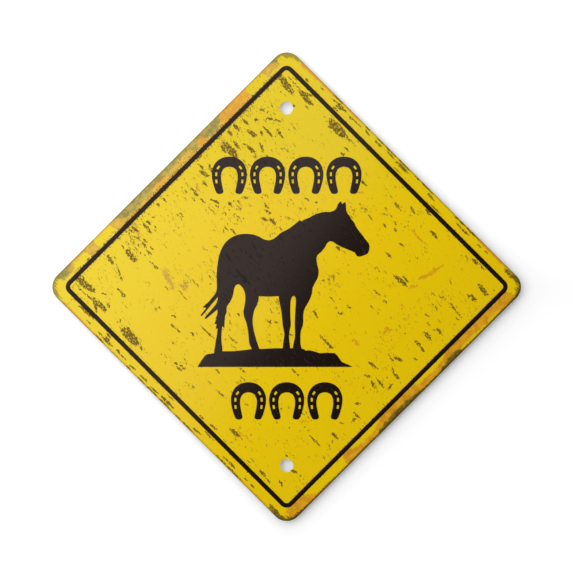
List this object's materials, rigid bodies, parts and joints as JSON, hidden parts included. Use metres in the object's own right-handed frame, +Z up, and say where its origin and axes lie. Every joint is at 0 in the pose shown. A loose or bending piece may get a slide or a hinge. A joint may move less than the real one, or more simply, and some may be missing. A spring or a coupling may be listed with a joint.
{
  "type": "horse crossing sign",
  "caption": "Diamond-shaped sheet metal sign, yellow with a black border, a standing horse and horseshoes, and a fixing hole near its top and its bottom corner.",
  "frame": {"origin": "middle of the pair of fixing holes, on the sheet's flat back", "axes": "+Z up, through the upper and lower corners; the printed front looks along -Y and the flat back along +Y; +X to the right as seen from the front"},
  "size_m": [0.297, 0.0017, 0.297],
  "materials": {
    "printed_sheet": "satin",
    "black_print": "satin"
  },
  "bodies": {
    "root": {"sign_plate": "printed_sheet", "border_line": "black_print", "horse_figure": "black_print", "upper_horseshoes": "black_print", "lower_horseshoes": "black_print"}
  },
  "joints": []
}
